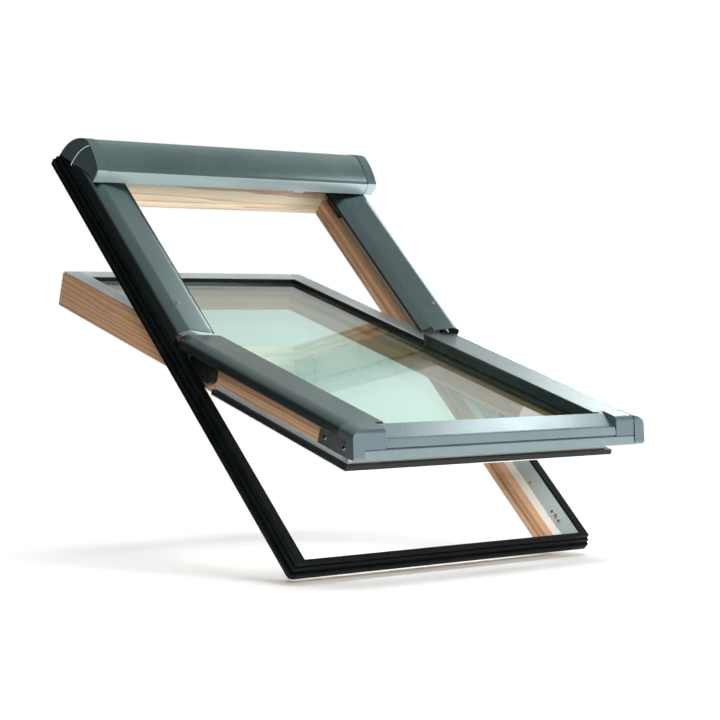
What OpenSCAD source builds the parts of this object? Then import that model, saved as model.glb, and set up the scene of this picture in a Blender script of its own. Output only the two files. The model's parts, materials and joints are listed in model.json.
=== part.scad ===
// Centre-pivot roof window: pitched timber frame, grey aluminium covers and a glazed sash
// that stands part open. Lengths in millimetres.
// Inside the modules x runs across the window, y up the slope and z out of the roof,
// with z = 0 on the roof line. The sash is drawn shut and then swung to its resting angle.

/* [Overall] */
// Pitch of the roof that the window lies in, degrees
roof_pitch = 45; // [20:1:70]
// Angle that the sash stands open at rest, degrees
sash_open = 27; // [0:1:55]
// Width over the outer rails
frame_w = 763; // [650:1:1100]
// Length over the outer rails
frame_l = 1180; // [1000:1:1500]

/* [Timber frame] */
// Depth of the timber below the roof line
frame_depth = 58; // [50:1:90]
// Width of the side timbers
stile_w = 45; // [40:1:60]
// Width of the head timber
head_w = 59.5; // [50:0.5:70]
// Width of the sill timber
sill_w = 25.5; // [22:0.5:30]
// Depth of the sealing ledge below the roof line
ledge_drop = 25; // [20:1:30]
// Thickness of the side walls above the ledge
wall_t = 17; // [12:1:20]
// Thickness of the sill wall above the ledge
sill_wall_t = 6.5; // [5:0.5:9]
// Flat left on the room edge below the outer bevel
room_edge = 3; // [2:1:10]
// Height of the shadow groove round the room side
groove_h = 6; // [3:1:8]
// Depth of that groove
groove_d = 5; // [2:1:8]
// Diameter of the frame fixing holes
fixing_d = 6.4; // [5:0.1:7]

/* [Outer rail] */
// Reach of the rail beyond the timber
rail_flange = 11.5; // [10:0.5:16]
// Height of the rail above the roof line
rail_h = 33; // [30:1:40]
// Thickness of the rail over the timber
rail_cap_t = 5; // [3:0.5:8]
// Length of the moulded corner pieces
rail_corner = 46; // [36:1:70]
// Outer radius of the corner pieces
rail_corner_r = 12; // [6:1:20]
// Thickness of the metal liner in the weather channel
liner_t = 1.5; // [1:0.1:2.5]

/* [Sash] */
// Gap between the sash timber and the frame opening
sash_gap = 3; // [2.5:0.5:6]
// Width of the sash timbers
sash_rail_w = 60; // [52:1:70]
// Depth of the sash's room face below the roof line
sash_in = 27; // [26:1:36]
// Height of the glass seat above the roof line
glass_seat = 17; // [16:1:20]
// Thickness of each pane
pane_t = 4; // [3:0.5:6]
// Width of the cavity between the panes
cavity = 14; // [12:1:16]
// Overlap of the timber upstand round the glass edge
upstand_w = 32; // [26:1:36]
// Thickness of the glazing bead
bead_t = 3; // [2:0.5:4]
// Reach of the black seal beyond the sash timber
seal_w = 14; // [10:1:15]
// Distance of the pivot below the middle of the frame
pivot_drop = 36.4; // [20:0.1:60]
// Height of the pivot above the roof line
pivot_h = 32; // [28:1:36]
// Diameter of the pivot pins
pin_d = 12; // [8:1:14]
// Radial running clearance of the pivots and bolts
running_gap = 0.05; // [0.02:0.01:0.1]

/* [Covers] */
// Thickness of the cover sheet
sheet_t = 1.5; // [1:0.1:2]
// Height of the frame covers above the roof line
cover_h = 71.5; // [68:0.5:76]
// Distance that the frame covers' sides stand in from the rail edge
cover_inset = 12.5; // [11:0.5:14]
// Width of the flat top of a frame cover
frame_cover_w = 75; // [66:1:84]
// Width of the flat top of a sash cover
sash_cover_w = 101.5; // [92:0.5:110]
// Gap between the nested frame and sash covers
nest_gap = 1; // [0.5:0.1:2]
// Width of the covers' rounded outer shoulder
shoulder_w = 26; // [18:1:26]
// Height of the covers' rounded outer shoulder
shoulder_h = 16; // [10:0.5:18]
// Reach of the bottom cover past the end of the frame
nose = 26; // [18:1:34]

/* [Hood] */
// Length of the hood along the slope
hood_l = 154; // [140:1:175]
// Height of the hood above the roof line
hood_h = 121.5; // [112:0.5:135]
// Height of the front lip
lip_h = 22; // [16:1:28]
// Width of the end caps
cap_w = 24; // [16:1:32]
// Thickness of the hood sheet
hood_t = 2; // [1.5:0.1:3]

/* [Lock] */
// Diameter of the shoot bolts
bolt_d = 8; // [6:0.5:10]
// Travel of the shoot bolts
bolt_travel = 34; // [30:1:36]
// Length of the handle's grip
grip_l = 112; // [80:1:140]

/* [Hidden] */
$fn = 48;
eps = 0.01;

// Frame, half sizes and levels
rail_u = frame_w / 2;
rail_v = frame_l / 2;
timber_u = rail_u - rail_flange;
timber_v = rail_v - rail_flange;
open_u = timber_u - stile_w;
head_v = timber_v - head_w;
sill_v = -(timber_v - sill_w);
wall_u = timber_u - wall_t;
wall_v = -(timber_v - sill_wall_t);
wall_top = rail_h - rail_cap_t;
liner_u = wall_u - liner_t;
liner_v = wall_v + liner_t;
groove_z = -(ledge_drop + frame_depth) / 2;
bevel_top = -10;
foot_top = -13;
foot_run = 0.75;
sill_foot_v = sill_wall_t + 6 - timber_v;
sill_step = -15;
pivot_v = -pivot_drop;

// Sash, drawn shut
sash_u = open_u - sash_gap;
sash_bottom = sill_v + sash_gap;
sash_top = head_v - sash_gap;
sash_inner_u = sash_u - sash_rail_w;
sash_inner_bottom = sash_bottom + sash_rail_w;
sash_inner_top = sash_top - sash_rail_w;
tape_t = 1.5;
glass_clear = 2;
pane_in = glass_seat + tape_t;
cavity_in = pane_in + pane_t;
pane_out = cavity_in + cavity;
glass_top = pane_out + pane_t;
glass_u = sash_u - upstand_w - glass_clear;
glass_v_top = sash_top - upstand_w + glass_clear;
unit_bottom = sash_bottom + upstand_w - glass_clear;
upstand_u = glass_u + glass_clear;
upstand_top_v = glass_v_top + glass_clear;
bead_rise = 7;
upstand_z = glass_top + bead_rise;
bead_z = upstand_z + 0.5;
bead_top = bead_z + bead_t;
bead_lap = 11;
bead_edge = 2;
seal_top = -13;
seal_low = -ledge_drop + 0.3;

// Covers
cover_u = rail_u - cover_inset;
frame_inner_u = cover_u - frame_cover_w;
frame_inner_h = cover_h - 7.5;
frame_lip_reach = 20;
frame_lip_h = bead_top;
frame_cover_end = pivot_v + 29;
lip_cutback = 12;
skirt_low = rail_h + 3;
sash_cover_h = cover_h - sheet_t - nest_gap;
sash_cover_u = cover_u - sheet_t - nest_gap;
sash_cover_in = sash_cover_u - sash_cover_w;
sash_skirt_low = rail_h + 10;
sash_cover_top_v = pivot_v + 13;
sash_cover_skirt_v = pivot_v + 3;
foot_z = glass_top + 4;
cover_bottom_v = -(rail_v - 30);
nose_v = -(rail_v + nose);
nose_in_v = cover_bottom_v - 3;
drip_z = 16;
bend_z = 50.5;
bend_v = nose_v + 14;
split_z = 32;
drip_back = nose_v + nose * 12 / 13;
cap_in_u = sash_cover_u - 26;
end_in_u = glass_u + glass_clear;

// Hood
cap_wall = 2.5;
hood_front = rail_v - hood_l - 2;
lip_low = cover_h + 2.5;
lip_top = lip_low + lip_h;
hood_back = rail_v - 13;
cap_side = 0.2;
hood_u = cover_u + cap_side + cap_wall - cap_w;

// Hinges, lock and handle
housing_t = 17;
housing_l = 79;
hinge_plate_t = 4;
lock_v = sash_bottom + 48;
lock_z = 4;
keeper_t = 2.5;
keeper_u = liner_u - keeper_t;
keeper_bore = bolt_d + 3;
keeper_pocket = 12;
lock_plate_t = 3;
lock_plate_l = 92;
bolt_in = 12;
gear_u = bolt_in + bolt_travel + 11;
gear_v = 11;
gear_z = 15;
rosette_t = 4;
fixing_z = -4;
fixing_rows = [-400, 300];
clip_rows = [72, 240, 400];
sash_clip_rows = [-120, -320, -500];

// Points on the circle through a, b and c, from a to c
function arc_through(a, b, c, n) =
    let (
        d = 2 * (a[0] * (b[1] - c[1]) + b[0] * (c[1] - a[1]) + c[0] * (a[1] - b[1])),
        o = [
            (a * a * (b[1] - c[1]) + b * b * (c[1] - a[1]) + c * c * (a[1] - b[1])) / d,
            (a * a * (c[0] - b[0]) + b * b * (a[0] - c[0]) + c * c * (b[0] - a[0])) / d
        ],
        r = norm(a - o),
        first = atan2(a[1] - o[1], a[0] - o[0]),
        last = atan2(c[1] - o[1], c[0] - o[0]),
        turn = cross(b - a, c - b) > 0 ? 1 : -1,
        sweep = ((last - first) * turn + 720) % 360
    )
    [for (i = [0:n]) let (t = first + turn * sweep * i / n) o + r * [cos(t), sin(t)]];

function unit(p) = p / norm(p);
function right_of(d) = [d[1], -d[0]];

// The path moved sideways by t, to the right of its direction
function beside(path, t) = [
    for (i = [0:len(path) - 1])
        let (
            n1 = right_of(unit(path[max(i, 1)] - path[max(i, 1) - 1])),
            j = min(i, len(path) - 2),
            n2 = right_of(unit(path[j + 1] - path[j]))
        )
        path[i] + (n1 + n2) * t / (1 + n1 * n2)
];
function reversed(list) = [for (i = [len(list) - 1:-1:0]) list[i]];
function sheet(path, t) = concat(path, reversed(beside(path, t)));

// Height of the line from p to q at the width u
function on_line(p, q, u) = p[1] + (q[1] - p[1]) * (u - p[0]) / (q[0] - p[0]);

// A section drawn in x and z, run along y
module along_y(from, to) {
    translate([0, to, 0])
        rotate([90, 0, 0])
            linear_extrude(to - from)
                children();
}

// A section drawn in y and z, run along x
module along_x(from, to) {
    translate([from, 0, 0])
        rotate([90, 0, 90])
            linear_extrude(to - from)
                children();
}

module block(low, high) {
    translate(low)
        cube(high - low);
}

module across(from, to, v, z, d) {
    translate([from, v, z])
        rotate([0, 90, 0])
            cylinder(d = d, h = to - from);
}

module left() {
    mirror([1, 0, 0])
        children();
}

module both_sides() {
    children();
    left()
        children();
}

module pitched() {
    rotate([roof_pitch, 0, 0])
        children();
}

module swung() {
    pitched()
        translate([0, pivot_v, pivot_h])
            rotate([-sash_open, 0, 0])
                translate([0, -pivot_v, -pivot_h])
                    children();
}

// Timber frame, as one ring that is cut at its mitres
module frame_ring() {
    difference() {
        block([-timber_u, -timber_v, -frame_depth], [timber_u, timber_v, wall_top]);
        block([-open_u, sill_v, -frame_depth - 1], [open_u, head_v, wall_top + 1]);
        block([-wall_u, sill_foot_v, -ledge_drop], [wall_u, head_v, wall_top + 1]);
        block([-wall_u, wall_v, sill_step], [wall_u, head_v, wall_top + 1]);
        block(
            [-open_u - groove_d, sill_v, groove_z - groove_h / 2],
            [open_u + groove_d, head_v + groove_d, groove_z + groove_h / 2]
        );
        both_sides()
            along_y(-timber_v - 1, timber_v + 1)
                polygon([
                    [timber_u + 1, bevel_top],
                    [timber_u, bevel_top],
                    [open_u + room_edge, -frame_depth],
                    [open_u + room_edge, -frame_depth - 1],
                    [timber_u + 1, -frame_depth - 1]
                ]);
        along_x(-timber_u - 1, timber_u + 1)
            polygon([
                [timber_v + 1, bevel_top],
                [timber_v, bevel_top],
                [head_v + room_edge, -frame_depth],
                [head_v + room_edge, -frame_depth - 1],
                [timber_v + 1, -frame_depth - 1]
            ]);
        along_x(-timber_u - 1, timber_u + 1)
            polygon([
                [-timber_v - 1, foot_top],
                [-timber_v, foot_top],
                [foot_run * (frame_depth + 1 + foot_top) - timber_v, -frame_depth - 1],
                [-timber_v - 1, -frame_depth - 1]
            ]);
        for (v = fixing_rows)
            across(-timber_u - 1, timber_u + 1, v, fixing_z, fixing_d);
        both_sides()
            across(wall_u - 1, wall_u + keeper_pocket, lock_v, lock_z, keeper_bore);
    }
}

module frame_part(outline) {
    color("#b98f66")
        pitched()
            intersection() {
                frame_ring();
                translate([0, 0, -frame_depth - 1])
                    linear_extrude(frame_depth + wall_top + 2)
                        polygon(outline);
            }
}

module frame_stile_right() {
    frame_part([
        [open_u, sill_v], [open_u, head_v], [timber_u, timber_v], [timber_u, -timber_v]
    ]);
}

module frame_stile_left() {
    left()
        frame_stile_right();
}

module frame_head() {
    frame_part([
        [-open_u, head_v], [open_u, head_v], [timber_u, timber_v], [-timber_u, timber_v]
    ]);
}

module frame_sill() {
    frame_part([
        [-open_u, sill_v], [open_u, sill_v], [timber_u, -timber_v], [-timber_u, -timber_v]
    ]);
}

// Stepped section of the outer rail: distance in from the rail edge, then height
function rail_section(width) = [
    [0, 0], [0, 8], [1.2, 9.6], [4.5, 10.4], [4.5, 8], [6.3, 8],
    [6.3, rail_h - 13], [7.3, rail_h - 11.5], [8.8, rail_h - 11], [8.8, rail_h - 13],
    [10, rail_h - 13], [10, rail_h - 2], [12, rail_h],
    [width, rail_h], [width, wall_top], [rail_flange, wall_top], [rail_flange, 0]
];
rail_side_w = rail_flange + wall_t + liner_t;
rail_end_w = rail_flange + sill_wall_t;

module side_rail_run(from, to) {
    along_y(from, to)
        polygon([for (p = rail_section(rail_side_w)) [rail_u - p[0], p[1]]]);
}

module end_rail_run(from, to) {
    along_x(from, to)
        polygon([for (p = rail_section(rail_end_w)) [p[0] - rail_v, p[1]]]);
}

joint_gap = 0.4;

module rail_right() {
    color("#14171a")
        pitched()
            side_rail_run(-rail_v + rail_corner + joint_gap, rail_v - rail_corner - joint_gap);
}

module rail_left() {
    left()
        rail_right();
}

module rail_bottom() {
    color("#14171a")
        pitched()
            end_rail_run(-rail_u + rail_corner + joint_gap, rail_u - rail_corner - joint_gap);
}

module rail_top() {
    color("#14171a")
        pitched()
            mirror([0, 1, 0])
                end_rail_run(-rail_u + rail_corner + joint_gap, rail_u - rail_corner - joint_gap);
}

// Moulded corner: two mitred arms with the outer edge rounded
module rail_corner_piece() {
    reach = rail_corner;
    intersection() {
        union() {
            intersection() {
                side_rail_run(-rail_v, -rail_v + reach);
                linear_extrude(rail_h + 1)
                    polygon([
                        [rail_u, -rail_v],
                        [rail_u, -rail_v + reach],
                        [rail_u - reach, -rail_v + reach]
                    ]);
            }
            intersection() {
                end_rail_run(rail_u - reach, rail_u);
                linear_extrude(rail_h + 1)
                    polygon([
                        [rail_u, -rail_v],
                        [rail_u - reach, -rail_v],
                        [rail_u - reach, -rail_v + reach]
                    ]);
            }
            block(
                [rail_u - rail_side_w, -rail_v + rail_end_w - 1, wall_top],
                [rail_u - 13, -rail_v + reach, rail_h]
            );
        }
        union() {
            block(
                [rail_u - reach - 1, -rail_v + rail_corner_r, -1],
                [rail_u + 1, -rail_v + reach + 1, rail_h + 1]
            );
            block(
                [rail_u - reach - 1, -rail_v - 1, -1],
                [rail_u - rail_corner_r, -rail_v + reach + 1, rail_h + 1]
            );
            translate([rail_u - rail_corner_r, -rail_v + rail_corner_r, -1])
                cylinder(r = rail_corner_r, h = rail_h + 2);
        }
    }
}

module rail_corners() {
    color("#1d2125")
        pitched()
            both_sides() {
                rail_corner_piece();
                mirror([0, 1, 0])
                    rail_corner_piece();
            }
}

// Metal liner of the weather channel, with clearance round the fixing screws
module liner_right() {
    color("#8b9394")
        pitched()
            difference() {
                block([liner_u, wall_v, -ledge_drop], [wall_u, head_v, wall_top]);
                block([liner_u - 1, wall_v - 1, -ledge_drop - 1], [wall_u + 1, sill_foot_v, sill_step]);
                for (v = fixing_rows)
                    across(liner_u - 1, wall_u + 1, v, fixing_z, fixing_d + 1);
                across(liner_u - 1, wall_u + 1, lock_v, lock_z, keeper_bore);
            }
}

module liner_left() {
    left()
        liner_right();
}

module liner_sill() {
    color("#8b9394")
        pitched()
            block([-liner_u, wall_v, sill_step], [liner_u, liner_v, wall_top]);
}

// White strips that stand in the foot of the weather channel
strip_h = 14;
strip_w = 7;

module base_strips() {
    color("#dfe2df")
        pitched()
            both_sides()
                along_y(sill_foot_v, pivot_v)
                    polygon([
                        [liner_u - strip_w, -ledge_drop],
                        [liner_u, -ledge_drop],
                        [liner_u, strip_h - ledge_drop],
                        [liner_u - strip_w / 3, strip_h - ledge_drop]
                    ]);
}

// Quarter ellipse of a cover's shoulder, from the flat top to the skirt
function shoulder_line(outer_u, top, inset = 0) = [
    for (i = [0:8])
        [
            outer_u - shoulder_w + (shoulder_w - inset) * sin(i * 90 / 8),
            top - shoulder_h + (shoulder_h - inset) * cos(i * 90 / 8)
        ]
];

// Outer line of a cover from its inner edge over the shoulder to the skirt
function cover_line(inner, outer_u, top, skirt) = concat(
    inner,
    shoulder_line(outer_u, top),
    [[outer_u, skirt]]
);
frame_cover_edge = [frame_inner_u, frame_inner_h];
frame_lip_tip = [frame_inner_u - frame_lip_reach, frame_lip_h];
frame_cover_back = head_v + 10;
frame_lip_back = glass_v_top - 14;

module frame_cover_right() {
    color("#6d7a79")
        pitched() {
            along_y(frame_cover_end, frame_cover_end + lip_cutback)
                polygon(sheet(cover_line([frame_cover_edge], cover_u, cover_h, skirt_low), sheet_t));
            along_y(frame_cover_end + lip_cutback, frame_lip_back)
                polygon(sheet(
                    cover_line([frame_lip_tip, frame_cover_edge], cover_u, cover_h, skirt_low),
                    sheet_t
                ));
            along_y(frame_lip_back, frame_cover_back)
                polygon(sheet(cover_line([frame_cover_edge], cover_u, cover_h, skirt_low), sheet_t));
        }
}

module frame_cover_left() {
    left()
        frame_cover_right();
}

// Black lips under the inner edge of the frame covers
module frame_cover_seals() {
    color("#1a1c1d")
        pitched()
            both_sides()
                along_y(frame_cover_end + lip_cutback, frame_lip_back)
                    polygon([
                        frame_lip_tip,
                        frame_lip_tip + [0.5, -sheet_t],
                        frame_lip_tip + [-3, -3],
                        frame_lip_tip + [-5, -3],
                        frame_lip_tip + [-2.5, 0]
                    ]);
}

clip_l = 30;
clip_w = 12;
clip_side = shoulder_w - 1;

module frame_cover_clips() {
    clip_in = cover_u - clip_side - clip_w;
    shoulder = [cover_u - shoulder_w, cover_h];
    under = on_line(frame_cover_edge, shoulder, clip_in) - sheet_t - 0.3;
    color("#2a2d2e")
        pitched()
            both_sides()
                for (v = clip_rows)
                    along_y(v - clip_l / 2, v + clip_l / 2)
                        polygon([
                            [clip_in, rail_h],
                            [clip_in + clip_w, rail_h],
                            [clip_in + clip_w, rail_h + 6],
                            [clip_in + clip_w - 5, under],
                            [clip_in, under]
                        ]);
}

// Cover screws, one on each side cover beside the pivot
screw_u_in = 34;
screw_head_d = 9;

module cover_screws() {
    screw_u = cover_u - screw_u_in;
    seat = on_line(frame_cover_edge, [cover_u - shoulder_w, cover_h], screw_u + screw_head_d / 2);
    color("#c9cfd0")
        pitched()
            both_sides()
                translate([screw_u, clip_rows[0], seat])
                    cylinder(d1 = screw_head_d, d2 = screw_head_d - 3, h = 1.8);
}

// Hood: sheet run across the head, closed by moulded caps
function hood_line(grow) = concat(
    [[hood_front + 2 - grow, lip_low], [hood_front - grow, lip_top - 4]],
    arc_through(
        [hood_front + 3 - grow * 0.7, lip_top + 7 + grow * 0.7],
        [hood_front + hood_l * 0.26, hood_h - 4 + grow],
        [hood_front + hood_l * 0.513, hood_h + grow],
        10
    ),
    arc_through(
        [hood_front + hood_l * 0.584 + grow * 0.7, hood_h - 4.5 + grow * 0.7],
        [(hood_front + hood_l * 0.584 + hood_back) / 2 + 5 + grow, (hood_h + rail_h) / 2 + 11],
        [hood_back + grow, rail_h + 5],
        10
    ),
    [[hood_back + grow, rail_h]]
);

module hood() {
    color("#76847f")
        pitched()
            along_x(-hood_u, hood_u)
                polygon(sheet(hood_line(0), hood_t));
}

cap_proud = 1.2;

module hood_cap_right() {
    outline = hood_line(cap_proud);
    color("#5d6968")
        pitched() {
            along_x(hood_u, hood_u + cap_w - cap_wall)
                polygon(sheet(outline, hood_t + cap_proud));
            along_x(hood_u + cap_w - cap_wall, hood_u + cap_w)
                polygon(concat(outline, [
                    [hood_back - 8, rail_h],
                    [hood_front + 30, lip_low]
                ]));
        }
}

module hood_cap_left() {
    left()
        hood_cap_right();
}

// Thin pale trim that follows an arc over each cap
trim_t = 0.8;

module hood_trims() {
    back = rail_v - hood_l * 0.409;
    line = arc_through(
        [back, rail_h + 9], [back - hood_l * 0.045, (rail_h + hood_h) / 2 + 6],
        [back - hood_l * 0.188, hood_h - 2.5], 10
    );
    color("#d7dcdb")
        pitched()
            both_sides()
                along_x(hood_u + cap_w, hood_u + cap_w + trim_t)
                    polygon(sheet(line, 1.6));
}

// Spring clips that hold the hood's lip
hood_clip_at = [-200, 165];
hood_clip_w = 34;

module hood_clips() {
    color("#b9bec0")
        pitched()
            for (u = hood_clip_at)
                along_x(u - hood_clip_w / 2, u + hood_clip_w / 2)
                    polygon(sheet([
                        [hood_front + 22, lip_low - 5.5],
                        [hood_front + 5, lip_low - 6],
                        [hood_front + 4.6, lip_low + 8]
                    ], 1.4));
}

// Frame side of the pivot: steel plate with its pin
module hinge_plate_right() {
    plate_u = liner_u - hinge_plate_t;
    ear_d = pin_d + 11;
    color("#a9adad")
        pitched() {
            difference() {
                union() {
                    block(
                        [plate_u, pivot_v - housing_l - 15, pivot_h - 28],
                        [liner_u, pivot_v + ear_d / 2, rail_h]
                    );
                    across(plate_u, liner_u, pivot_v, pivot_h, ear_d);
                }
                for (v = [pivot_v - 40, pivot_v - 80])
                    across(plate_u - 1, liner_u + 1, v, pivot_h - 14, 6);
            }
            across(sash_u + 0.5, plate_u + eps, pivot_v, pivot_h, pin_d);
        }
}

module hinge_plate_left() {
    left()
        hinge_plate_right();
}

// Steel keepers that take the shoot bolts
keeper_l = 36;
keeper_h = 24;

module keepers() {
    color("#a9adad")
        pitched()
            both_sides()
                difference() {
                    block(
                        [keeper_u, lock_v - keeper_l / 2, lock_z - keeper_h / 2],
                        [liner_u, lock_v + keeper_l / 2, lock_z + keeper_h / 2]
                    );
                    across(keeper_u - 1, liner_u + 1, lock_v, lock_z, keeper_bore);
                    for (v = [-keeper_l / 2 + 5, keeper_l / 2 - 5])
                        across(keeper_u - 1, liner_u + 1, lock_v + v, lock_z, 4);
                }
}

// Black stop blocks under the ends of the head
stop_w = 15;
stop_l = 58;
stop_h = 21;

module head_blocks() {
    color("#17191a")
        pitched()
            both_sides()
                along_y(head_v - stop_l, head_v)
                    polygon([
                        [liner_u - stop_w, 4 - stop_h],
                        [liner_u - stop_w + 4, -stop_h],
                        [liner_u, -stop_h],
                        [liner_u, stop_h],
                        [liner_u - stop_w + 4, stop_h],
                        [liner_u - stop_w, stop_h - 4]
                    ]);
}

// Sash timber
arris = 3;
bolt_bore = bolt_d + 1.2;

module sash_stile_right() {
    color("#c29a6d")
        swung()
            difference() {
                along_y(sash_bottom, sash_top)
                    polygon([
                        [sash_inner_u, arris - sash_in],
                        [sash_inner_u + arris, -sash_in],
                        [sash_u - arris, -sash_in],
                        [sash_u, arris - sash_in],
                        [sash_u, upstand_z],
                        [upstand_u, upstand_z],
                        [upstand_u, glass_seat],
                        [sash_inner_u, glass_seat]
                    ]);
                across(sash_inner_u - 1, sash_u + 1, lock_v, lock_z, bolt_bore);
            }
}

module sash_stile_left() {
    left()
        sash_stile_right();
}

module sash_top_rail() {
    color("#c29a6d")
        swung() {
            along_x(-sash_inner_u, sash_inner_u)
                polygon([
                    [sash_inner_top, arris - sash_in],
                    [sash_inner_top + arris, -sash_in],
                    [sash_top - arris, -sash_in],
                    [sash_top, arris - sash_in],
                    [sash_top, upstand_z],
                    [upstand_top_v, upstand_z],
                    [upstand_top_v, glass_seat],
                    [sash_inner_top, glass_seat]
                ]);
        }
}

module sash_bottom_rail() {
    color("#c29a6d")
        swung()
            difference() {
                along_x(-sash_inner_u, sash_inner_u)
                    polygon([
                        [sash_bottom, arris - sash_in],
                        [sash_bottom + arris, -sash_in],
                        [sash_inner_bottom - arris, -sash_in],
                        [sash_inner_bottom, arris - sash_in],
                        [sash_inner_bottom, glass_seat],
                        [unit_bottom - glass_clear, glass_seat],
                        [unit_bottom - glass_clear, pane_out - 0.3],
                        [sash_bottom, pane_out - 0.3]
                    ]);
                across(-sash_inner_u - 1, sash_inner_u + 1, lock_v, lock_z, bolt_bore);
                block([-gear_u, lock_v - gear_v, -sash_in - 1], [gear_u, lock_v + gear_v, gear_z]);
            }
}

// Stepped glass unit: the outer pane runs on under the bottom cover
module outer_pane() {
    color("#bfe0d2")
        swung()
            block([-glass_u, nose_v + 16, pane_out], [glass_u, glass_v_top, glass_top]);
}

module inner_pane() {
    color("#bfe0d2")
        swung()
            block([-glass_u, unit_bottom, pane_in], [glass_u, glass_v_top, cavity_in]);
}

spacer_w = 9;

module spacer() {
    color("#9aa0a0")
        swung()
            difference() {
                block([-glass_u, unit_bottom, cavity_in], [glass_u, glass_v_top, pane_out]);
                block(
                    [spacer_w - glass_u, unit_bottom + spacer_w, cavity_in - 1],
                    [glass_u - spacer_w, glass_v_top - spacer_w, pane_out + 1]
                );
            }
}

tape_w = 12;

module glazing_tape() {
    color("#202223")
        swung()
            difference() {
                block([-glass_u, unit_bottom, glass_seat], [glass_u, glass_v_top, pane_in]);
                block(
                    [tape_w - glass_u, unit_bottom + tape_w, glass_seat - 1],
                    [glass_u - tape_w, glass_v_top - tape_w, pane_in + 1]
                );
            }
}

// Black gasket on the outer pane, open at the bottom
gasket_w = bead_lap + 3;
gasket_h = bead_rise + 1.5;

module glazing_gasket() {
    color("#161819")
        swung()
            difference() {
                block(
                    [-glass_u, cover_bottom_v, glass_top],
                    [glass_u, glass_v_top, glass_top + gasket_h]
                );
                block(
                    [gasket_w - glass_u, cover_bottom_v - 1, glass_top - 1],
                    [glass_u - gasket_w, glass_v_top - gasket_w, glass_top + gasket_h + 1]
                );
                bead_recess();
            }
}

// Room that the bead takes out of the gasket
module bead_recess() {
    lap = glass_u - bead_lap;
    difference() {
        block(
            [-sash_u, cover_bottom_v - 1, bead_z - eps],
            [sash_u, sash_top, bead_top + 1]
        );
        block(
            [-lap, cover_bottom_v - 2, bead_z - 1],
            [lap, glass_v_top - bead_lap, bead_top + 2]
        );
    }
}

// Aluminium glazing beads with fine ribs along them
rib_pitch = 4.2;
rib_d = 1;
function bead_section(inner, outer) = concat(
    [[inner, bead_z], [outer, bead_z], [outer, bead_top]],
    [
        for (i = [0:floor((outer - inner - 8) / rib_pitch) - 1], p = [[0, 0], [0.4, rib_d], [1.4, rib_d], [1.8, 0]])
            [outer - 4 - i * rib_pitch - p[0], bead_top - p[1]]
    ],
    [[inner + 1.2, bead_top], [inner, bead_top - 1.2]]
);

module glazing_bead_right() {
    color("#c3c8c8")
        swung()
            along_y(cover_bottom_v, sash_top - bead_edge)
                polygon(bead_section(glass_u - bead_lap, sash_u - bead_edge));
}

module glazing_bead_left() {
    left()
        glazing_bead_right();
}

module glazing_bead_top() {
    lap = glass_u - bead_lap;
    color("#c3c8c8")
        swung()
            along_x(-lap, lap)
                polygon(bead_section(glass_v_top - bead_lap, sash_top - bead_edge));
}

// Grey covers over the lower half of the sash
sash_cover_foot = [sash_cover_in, foot_z];
sash_cover_edge = [sash_cover_in + 1.5, sash_cover_h - 2.5];

module sash_cover_right() {
    line = cover_line(
        [sash_cover_foot, [sash_cover_in, sash_cover_h - 4.5], sash_cover_edge],
        sash_cover_u, sash_cover_h, sash_skirt_low
    );
    color("#78868a")
        swung()
            intersection() {
                along_y(cover_bottom_v, sash_cover_top_v + 1)
                    polygon(sheet(line, sheet_t));
                along_x(sash_cover_in - 1, sash_cover_u + 1)
                    polygon([
                        [cover_bottom_v, sash_skirt_low - 1],
                        [sash_cover_skirt_v, sash_skirt_low - 1],
                        [sash_cover_top_v, sash_cover_h],
                        [sash_cover_top_v, sash_cover_h + 1],
                        [cover_bottom_v, sash_cover_h + 1]
                    ]);
            }
}

module sash_cover_left() {
    left()
        sash_cover_right();
}

module sash_cover_clips() {
    clip_in = sash_u - bead_edge - 20;
    shoulder = [sash_cover_u - shoulder_w, sash_cover_h];
    under = on_line(sash_cover_edge, shoulder, clip_in) - sheet_t - 0.3;
    color("#2a2d2e")
        swung()
            both_sides()
                for (v = sash_clip_rows)
                    along_y(v - clip_l / 2, v + clip_l / 2)
                        polygon([
                            [clip_in, bead_top],
                            [clip_in + 18, bead_top],
                            [clip_in + 18, bead_top + 4],
                            [clip_in + 13, under],
                            [clip_in, under]
                        ]);
}

// Black lips between the sash covers and the glass
module cover_seals() {
    color("#161819")
        swung() {
            both_sides()
                along_y(cover_bottom_v, sash_cover_skirt_v - 6)
                    polygon([
                        [sash_cover_in - 1, glass_top],
                        [sash_cover_in + 2.5, glass_top],
                        [sash_cover_in + sheet_t, foot_z],
                        [sash_cover_in, foot_z]
                    ]);
            along_x(-end_in_u, end_in_u)
                polygon([
                    [nose_in_v + 1, glass_top],
                    [nose_in_v - 2.5, glass_top],
                    [nose_in_v - sheet_t, foot_z],
                    [nose_in_v, foot_z]
                ]);
        }
}

// Bottom cover: sloping apron, bend and front face down to the groove
module bottom_cover() {
    apron_top = sash_cover_h - 3.5;
    line = [
        [nose_in_v, foot_z],
        [nose_in_v, apron_top - 2],
        [nose_in_v - 2, apron_top],
        [bend_v + 4, bend_z + 1.2],
        [bend_v, bend_z - 1.5],
        [nose_v + 7, split_z + 3],
        [nose_v + 9.5, split_z + 2],
        [nose_v + 9.5, split_z + 0.2]
    ];
    color("#93a1a5")
        swung()
            along_x(-end_in_u, end_in_u)
                polygon(sheet(reversed(line), sheet_t));
}

// Drip strip along the foot of the bottom cover
module drip_strip() {
    color("#a7b4b8")
        swung()
            along_x(-cap_in_u, cap_in_u)
                polygon(sheet([
                    [drip_back, drip_z],
                    [nose_v, drip_z],
                    [nose_v + 5.5, split_z - 1],
                    [nose_v + 7, split_z],
                    [drip_back, split_z]
                ], sheet_t));
}

// Corner caps and cover ends: moulded shells that close the sash covers
cap_t = 2.4;

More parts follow.
